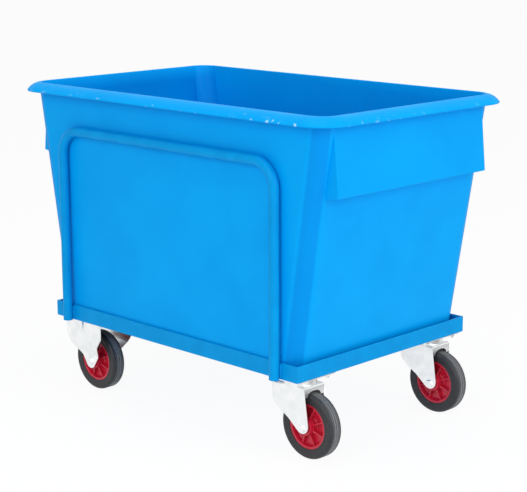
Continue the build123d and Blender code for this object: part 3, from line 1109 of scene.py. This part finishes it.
@dataclass
class FixedFork(Fork):
    """Pressed fork of a fixed castor, its top plate folded in one with the two legs."""

    half_length: float = 70.0
    half_width: float = 55.0
    wall_drop: float = 71.0
    waist_drop: float = 105.0
    shoulder_drop: float = 46.0
    shoulder_radius: float = 18.0
    shoulder_steps: int = 5
    tip_radius: float = 18.0
    bend: float = 6.0
    fold_turn: float = 15.0
    waist_steps: int = 3
    rib_half: float = 5.0
    rib_rise: float = 1.6

    def build(self, corner: Corner, look: Look) -> None:
        """Builds the fork of one castor.

        Args:
            corner: the castor's corner.
            look: the finishes.
        """
        shape = Shape()
        x, y = self.half_length, self.half_width
        top = shape.outline(
            [(-x, -y, FRAME_BOTTOM), (x, -y, FRAME_BOTTOM), (x, y, FRAME_BOTTOM), (-x, y, FRAME_BOTTOM)]
        )
        for side in (-1, 1):
            fold = [e for f in top for e in f.edges if all(v.co.y * side > y - NEAR for v in e.verts)]
            fold = shape.pull(fold, (0, 0, -self.wall_drop))
            fold = shape.pull(fold, (0, side * (self.leg_half_width - y), self.wall_drop - self.waist_drop))
            shape.pull(fold, (0, 0, self.waist_drop + self.wheel_radius - FRAME_BOTTOM - self.tip_radius))
        self.cut_outline(shape)
        high = [e for e in self.folds(shape) if e.verts[0].co.z > FRAME_BOTTOM - 1]
        self.emboss(shape)
        shape.ease([e for e in high if e.is_valid], self.bend, self.bend_steps)
        low = [e for e in self.folds(shape) if e.verts[0].co.z < FRAME_BOTTOM - self.shoulder_drop]
        shape.ease(low, self.bend, self.waist_steps)
        shape.shell(self.sheet)
        self.finish(shape, corner, look)

    def folds(self, shape: Shape) -> list[BMEdge]:
        """The level edges in which the sheet folds."""
        return [e for e in shape.sharp_edges(self.fold_turn) if rise_of(e) < NEAR]

    def cut_outline(self, shape: Shape) -> None:
        """Cuts shoulders, waist and round tip into both legs.

        Args:
            shape: the mesh in the making.
        """
        shoulder = (self.half_length, FRAME_BOTTOM - self.shoulder_drop)
        slope = self.tangent_angle(shoulder, (0.0, self.wheel_radius), self.tip_radius, 1)
        turn = math.radians(slope)
        rise = self.shoulder_radius * (1 - math.cos(turn)) / math.sin(-turn)
        centre = (shoulder[0] - self.shoulder_radius, shoulder[1] + rise)
        radius, steps = self.shoulder_radius, self.shoulder_steps
        self.file_round(shape, centre, radius, 0.0, slope, steps)
        self.file_round(shape, (-centre[0], centre[1]), radius, -180.0, -180.0 - slope, steps)
        tip = (0.0, self.wheel_radius)
        self.file_round(shape, tip, self.tip_radius, slope, -180.0 - slope, self.tip_steps)

    def emboss(self, shape: Shape) -> None:
        """Presses a shallow upright rib out of each leg.

        Args:
            shape: the mesh in the making.
        """
        for x in (-self.rib_half, 0.0, self.rib_half):
            shape.cut((x, 0, 0), (1, 0, 0), clear=False)
        for vert in shape.mesh.verts:
            if abs(vert.co.x) < NEAR and self.wheel_radius < vert.co.z < FRAME_BOTTOM - 1:
                vert.co.y += math.copysign(self.rib_rise, vert.co.y)


@dataclass
class Wheel:
    """A rubber-tyred wheel with a ribbed nylon centre."""

    swivel_axle_x: float = 423.0
    fixed_axle_x: float = 355.0
    axle_y: float = 240.0
    radius: float = 80.0
    tyre_half: float = 19.0
    bead_half: float = 17.0
    shoulder: float = 7.6
    shoulder_steps: int = 7
    # Points of the sidewall: out from rim and bead for the raised ring, then back from shoulder and tread.
    wall_ring: tuple[tuple[float, float], ...] = ((0, 0), (3.0, 0.3), (3.6, 0.9), (5.0, 0.9), (5.6, 0.5))
    wall_bulge: tuple[tuple[float, float], ...] = ((3.0, 0.3), (2.2, 0.0))
    groove_half: float = 1.0
    groove_depth: float = 1.6
    groove_floor: float = 0.8
    groove_spacing: float = 7.0
    # Pale grey on the tread's faces: dusted rubber, and a painted highlight on them.
    tread_dust_and_highlight: float = 0.9
    tyre_sharp: float = 28.0
    centre_sharp: float = 35.0
    rim_radius: float = 56.0
    rim_half: float = 16.0
    lip_radius: float = 50.0
    root_radius: float = 46.0
    web_half: float = 4.0
    hub_radius: float = 20.0
    hub_half: float = 27.0
    hub_taper: float = 2.0
    bearing_radius: float = 13.0
    edge: float = 1.2
    web_fillet: float = 2.5
    edge_steps: int = 3
    ribs: int = 8
    rib_half: float = 2.0
    rib_hub_height: float = 17.0
    rib_rim_height: float = 11.0
    rib_overlap: float = 2.0
    steps: int = 72

    def build(self, corner: Corner, look: Look) -> None:
        """Builds the tyre and the centre of one wheel.

        Args:
            corner: the castor's corner.
            look: the finishes.
        """
        axle_x = self.swivel_axle_x if corner.swivels else self.fixed_axle_x
        place = corner.place(axle_x, self.axle_y, self.radius)
        self.mould_tyre().finish(
            f"tyre_{corner.label}_moulded", corner.wheel_body, look.rubber, "tyre_rubber",
            [f"tyre_{corner.label}"], place, self.tyre_sharp,
        )
        self.mould_centre().finish(
            f"wheel_centre_{corner.label}_moulded", corner.wheel_body, look.nylon, "wheel_plastic",
            [f"wheel_centre_{corner.label}"], place, self.centre_sharp,
        )

    def mould_tyre(self) -> Shape:
        """Turns the tyre's section: bead, ringed wall, round shoulder and three grooves.

        Returns:
            The mesh.
        """
        half = [(self.rim_radius + out, self.bead_half + rise) for out, rise in self.wall_ring]
        wall_end = self.radius - self.shoulder
        half += [(wall_end - short, self.tyre_half - under) for short, under in self.wall_bulge]
        half.append((self.radius, self.tyre_half))
        floor, deep = self.groove_floor, self.groove_depth
        tread = [
            (self.radius - depth, index * self.groove_spacing + share * self.groove_half)
            for index in (1, 0, -1)
            for share, depth in ((1.0, 0.0), (floor, deep), (-floor, deep), (-1.0, 0.0))
        ]
        rounded = (len(half) - 1, len(half) + len(tread))
        rounding = [(rounded, self.shoulder, self.shoulder_steps)]
        shape = self.turn_section(half + tread + mirrored(half), rounding)
        # The tread's faces get the pale grey: dusted, and a painted highlight on them.
        dust_and_highlight = shape.mesh.verts.layers.float.new("dust_and_highlight")
        for vert in shape.mesh.verts:
            reach = math.hypot(vert.co.x, vert.co.z)
            in_tread = abs(vert.co.y) < self.groove_spacing + 2 * self.groove_half
            vert[dust_and_highlight] = self.tread_dust_and_highlight if in_tread and reach > self.radius - 2 * NEAR else 0.0
        return shape

    def turn_section(self, points: Sequence[tuple[float, float]], rounding: Sequence[Rounding]) -> Shape:
        """Turns a section about the axle.

        Args:
            points: radius and Y of its corners.
            rounding: as Shape.outline takes it.

        Returns:
            The mesh.
        """
        shape = Shape()
        section = shape.wire([(radius, y, 0.0) for radius, y in points], rounding)
        shape.turn(section, (0, 0, 0), (0, 1, 0), FULL_TURN, self.steps)
        shape.merge()
        return shape

    def mould_centre(self) -> Shape:
        """Turns the hub, web and rim and stands the ribs between them.

        Returns:
            The mesh.
        """
        half = [
            (self.bearing_radius, self.hub_half),
            (self.hub_radius, self.hub_half),
            (self.hub_radius + self.hub_taper, self.web_half),
            (self.root_radius, self.web_half),
            (self.lip_radius, self.rim_half),
            (self.rim_radius, self.rim_half),
        ]
        rounding = [
            ((1, 4, 5, 6, 7, 10), self.edge, self.edge_steps),
            ((2, 3, 8, 9), self.web_fillet, self.edge_steps),
        ]
        shape = self.turn_section(half + mirrored(half), rounding)
        for index in range(self.ribs):
            self.stand_rib(shape, FULL_TURN * (index + 0.5) / self.ribs)
        return shape

    def stand_rib(self, shape: Shape, degrees: float) -> None:
        """Stands one rib between hub and rim.

        Args:
            shape: the mesh in the making.
            degrees: where round the wheel it stands.
        """
        made = bmesh.ops.create_cube(shape.mesh, size=1.0)["verts"]
        inner, outer = self.hub_radius - self.rib_overlap, self.lip_radius + self.rib_overlap
        middle = (inner + outer) / 2
        # The block reaches 1 mm to each side, so each end can be scaled to its own height.
        bmesh.ops.scale(shape.mesh, verts=made, vec=Vector((outer - inner, 2.0, 2 * self.rib_half)))
        bmesh.ops.translate(shape.mesh, verts=made, vec=Vector((middle, 0, 0)))
        for vert in made:
            vert.co.y *= self.rib_hub_height if vert.co.x < middle else self.rib_rim_height
        crest = []
        for edge in {e for v in made for e in v.link_edges}:
            near, far = (v.co for v in edge.verts)
            if near.y * far.y > 0 and abs(near.x - far.x) > 1:
                crest.append(edge)
        turn = Matrix.Rotation(math.radians(degrees), 3, "Y")
        bmesh.ops.rotate(shape.mesh, verts=made, cent=Vector(), matrix=turn)
        shape.ease(crest, self.edge, self.edge_steps)


@dataclass
class TubScrews:
    """The four flush socket screws in the tub's floor."""

    inset_x: float = 80.0
    inset_y: float = 158.0
    head: float = 7.9
    top: float = 212.15
    shank: float = 4.0
    low: float = 189.0
    socket: float = 2.9
    socket_depth: float = 2.5
    steps: int = 24

    def build(self, look: Look) -> None:
        """Builds the four screws as one piece.

        Args:
            look: the finishes.
        """
        shape = Shape()
        for corner in Corner:
            reach_x, reach_y = FRAME_HALF_LENGTH - self.inset_x, FRAME_HALF_WIDTH - self.inset_y
            self.turn_screw(shape, corner.place(reach_x, reach_y))
        shape.merge(TOUCHING)
        shape.finish("tub_socket_screws", CARRIED_BODY, look.zinc, "zinc_plate", ["tub_screws"])

    def turn_screw(self, shape: Shape, place: Vector) -> None:
        """Turns one screw and broaches its hexagon socket.

        Args:
            shape: the mesh in the making.
            place: the screw's place in the plan.
        """
        rim = shape.circle(self.head, (place.x, place.y, self.top), self.steps)
        hexagon = shape.circle(self.socket, (place.x, place.y, self.top), 6)
        # The socket gets as many points as the head's rim, so that the two rings join evenly.
        bmesh.ops.subdivide_edges(shape.mesh, edges=hexagon, cuts=self.steps // 6 - 1)
        inner = {v for v in shape.mesh.verts if self.in_socket(v, place)}
        hexagon = [e for e in shape.mesh.edges if inner.issuperset(e.verts)]
        bmesh.ops.bridge_loops(shape.mesh, edges=rim + hexagon)
        floor = shape.pull(hexagon, (0, 0, -self.socket_depth))
        bmesh.ops.contextual_create(shape.mesh, geom=floor)
        neck = shape.pull(rim, (0, 0, self.shank - self.head))
        shape.shrink(neck, self.shank / self.head, place)
        end = shape.pull(neck, (0, 0, self.low - self.top - self.shank + self.head))
        bmesh.ops.contextual_create(shape.mesh, geom=end)

    def in_socket(self, vert: BMVert, place: Vector) -> bool:
        """True for a point of one screw's hexagon, level with its head."""
        return abs(vert.co.z - self.top) < NEAR and (vert.co.xy - place.xy).length < self.socket + 0.5


@dataclass
class PadStitches:
    """Short weld stitches that join each castor pad to the flat legs of the rails, seen from below."""

    rail_leg: float = 40.0
    stitch: float = 26.0
    pitch: float = 2.6
    radius: float = 2.2
    flatness: float = 0.6
    spots_x: tuple[float, ...] = (20.0, 62.0)
    spots_y: tuple[float, ...] = (30.0, 95.0)

    def build(self, look: Look) -> None:
        """Lays the stitches of all four pads.

        Args:
            look: the finishes.
        """
        shape = Shape()
        x, y = FRAME_HALF_LENGTH - self.rail_leg, FRAME_HALF_WIDTH - self.rail_leg
        for corner in Corner:
            for spot in self.spots_x:
                self.lay(shape, corner.place(x - spot, y, FRAME_BOTTOM), corner.place(-1, 0))
            for spot in self.spots_y:
                self.lay(shape, corner.place(x, y - spot, FRAME_BOTTOM), corner.place(0, -1))
        shape.finish("pad_weld_stitches", CARRIED_BODY, look.enamel, "frame_paint")

    def lay(self, shape: Shape, start: Vector, way: Vector) -> None:
        """Lays one stitch as a row of flattened drops.

        Args:
            shape: the mesh in the making.
            start: where it starts.
            way: the level direction it runs in.
        """
        for index in range(int(self.stitch / self.pitch)):
            ball = bmesh.ops.create_uvsphere(shape.mesh, u_segments=10, v_segments=6, radius=self.radius)
            drop = ball["verts"]
            bmesh.ops.scale(shape.mesh, verts=drop, vec=Vector((1.0, 1.0, self.flatness)))
            bmesh.ops.translate(shape.mesh, verts=drop, vec=start + way * self.pitch * index)


@dataclass
class Studio:
    """Camera, floor and light: a white room with large soft lamps."""

    image_width: int = 527
    focal_pixels: float = 1509.868
    sensor_mm: float = 36.0
    sight: float = 100.0
    eye: Point = (2717.6, -2738.5, 1264.0)
    heading: float = 2.347
    dip: float = 0.218
    roll: float = -0.002
    floor_colour: str = "#FBFBFB"
    floor_glow: float = 0.93
    floor_half: float = 30.0
    sky: float = 0.5
    lamp_aim: Point = (0.0, 0.0, 0.4)
    lamps: tuple[tuple[str, Point, float, float], ...] = (
        ("key_lamp", (1.6, -4.2, 2.6), 2.6, 72.0),
        ("side_lamp", (4.4, 0.2, 2.0), 2.6, 72.0),
        ("top_lamp", (0.2, -0.4, 4.4), 2.8, 60.0),
    )
    card_colour: str = "#2B2B2D"
    card_half: float = 0.9
    card_place: Point = (1.75, 0.75, 0.003)

    def build(self) -> None:
        """Sets up the camera, the floor and the light."""
        self.place_camera()
        self.lay_floor()
        self.fill_room()
        for name, place, size, watts in self.lamps:
            self.hang_lamp(name, place, size, watts)
        self.lay_dark_card()
        bpy.context.scene.view_settings.view_transform = "Standard"

    def place_camera(self) -> None:
        """Places the camera at the photograph's viewpoint."""
        data = bpy.data.cameras.new("camera")
        data.sensor_fit = "HORIZONTAL"
        data.sensor_width = self.sensor_mm
        data.lens = self.focal_pixels / self.image_width * self.sensor_mm
        data.clip_end = self.sight
        camera = bpy.data.objects.new("camera", data)
        bpy.context.scene.collection.objects.link(camera)
        level = math.cos(self.dip)
        look = Vector((level * math.cos(self.heading), level * math.sin(self.heading), -math.sin(self.dip)))
        turn = look.to_track_quat("-Z", "Y").to_matrix().to_4x4()
        place = Matrix.Translation(Vector(self.eye) * MM)
        camera.matrix_world = place @ turn @ Matrix.Rotation(self.roll, 4, "Z")
        bpy.context.scene.camera = camera

    def stage_grid(self, name: str, size: float, place: Matrix) -> bpy.types.Object:
        """Makes a square sheet that belongs to the studio.

        Args:
            name: the sheet's name.
            size: half its side, in metres.
            place: where it stands.

        Returns:
            The sheet.
        """
        mesh = bmesh.new()
        bmesh.ops.create_grid(mesh, x_segments=1, y_segments=1, size=size, matrix=place)
        data = bpy.data.meshes.new(name)
        mesh.to_mesh(data)
        mesh.free()
        sheet = bpy.data.objects.new(name, data)
        bpy.context.scene.collection.objects.link(sheet)
        return sheet

    def lay_floor(self) -> None:
        """Lays a pale floor that keeps a faint shadow and shows white elsewhere."""
        floor = self.stage_grid("floor", self.floor_half, Matrix.Identity(4))
        material = bpy.data.materials.new("white_painted_floor")
        tree = blank_tree(material)
        paint = add_node(tree, "BsdfDiffuse", {"Color": linear(self.floor_colour)})
        glow = add_node(tree, "Emission", {"Color": (1.0, 1.0, 1.0, 1.0), "Strength": 1.0})
        seen = {0: self.seen_directly(tree), 1: self.floor_glow}
        share = add_node(tree, "Math", seen, operation="MULTIPLY").outputs["Value"]
        layers = {0: share, 1: paint.outputs["BSDF"], 2: glow.outputs["Emission"]}
        both = add_node(tree, "MixShader", layers)
        add_node(tree, "OutputMaterial", {"Surface": both.outputs["Shader"]})
        dress(floor, material)

    def seen_directly(self, tree: Tree) -> Socket:
        """Tells what the camera sees, straight, in metal or through glass, from what lights the scene.

        Args:
            tree: node tree of a material or the world.

        Returns:
            A value of 1 for what is seen and 0 for what only lights.
        """
        path = add_node(tree, "LightPath").outputs
        seen = path["Is Camera Ray"]
        for kind in ("Is Glossy Ray", "Is Transmission Ray"):
            either = add_node(tree, "Math", {0: seen, 1: path[kind]}, operation="MAXIMUM")
            seen = either.outputs["Value"]
        return seen

    def fill_room(self) -> None:
        """Surrounds the scene with even white light."""
        world = bpy.data.worlds.new("white_room")
        tree = blank_tree(world)
        ends = {"Value": self.seen_directly(tree), "To Min": self.sky, "To Max": 1.0}
        strength = add_node(tree, "MapRange", ends).outputs["Result"]
        light = add_node(tree, "Background", {"Color": (1.0, 1.0, 1.0, 1.0), "Strength": strength})
        add_node(tree, "OutputWorld", {"Surface": light.outputs["Background"]})
        bpy.context.scene.world = world

    def hang_lamp(self, name: str, place: Point, size: float, watts: float) -> None:
        """Hangs one soft square lamp.

        Args:
            name: the lamp's name.
            place: where it hangs, in metres.
            size: its side in metres.
            watts: its power.
        """
        data = bpy.data.lights.new(name, "AREA")
        data.shape = "SQUARE"
        data.size = size
        data.energy = watts
        lamp = bpy.data.objects.new(name, data)
        bpy.context.scene.collection.objects.link(lamp)
        turn = (Vector(self.lamp_aim) - Vector(place)).to_track_quat("-Z", "Y").to_matrix().to_4x4()
        lamp.matrix_world = Matrix.Translation(Vector(place)) @ turn

    def lay_dark_card(self) -> None:
        """Lays a dark card on the floor beyond the right end, which only polished metal mirrors."""
        card = self.stage_grid("dark_card", self.card_half, Matrix.Translation(self.card_place))
        material = bpy.data.materials.new("black_felt_card")
        tree = blank_tree(material)
        felt = add_node(tree, "BsdfDiffuse", {"Color": linear(self.card_colour)})
        add_node(tree, "OutputMaterial", {"Surface": felt.outputs["BSDF"]})
        dress(card, material)
        card.visible_camera = False
        card.visible_diffuse = False
        card.visible_shadow = False


def dress_carried_nodes(look: Look) -> None:
    """Gives every CAD node that shows as it is its finish.

    Args:
        look: the finishes.
    """
    finishes = {
        "tub_plastic": look.tub,
        "frame_paint": look.enamel,
        "zinc_plate": look.zinc,
        "plain_steel": look.steel,
        "wheel_plastic": look.nylon,
        "tyre_rubber": look.rubber,
    }
    slots = {part["node"]: part["material_slot"] for part in frame["record"]["subparts"]}
    for name, node in frame["nodes"].items():
        dress(node, finishes[slots[name]])


def main() -> None:
    """Builds the whole scene in order."""
    logging.basicConfig(level=logging.INFO, format="%(name)s %(message)s")
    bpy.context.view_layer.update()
    Studio().build()
    look = Look()
    dress_carried_nodes(look)
    Tub().build(look)
    Handle().build(look)
    TubScrews().build(look)
    PadStitches().build(look)
    for corner in Corner:
        fork = SwivelFork() if corner.swivels else FixedFork()
        fork.build(corner, look)
        Wheel().build(corner, look)


if __name__ == "__main__":
    main()
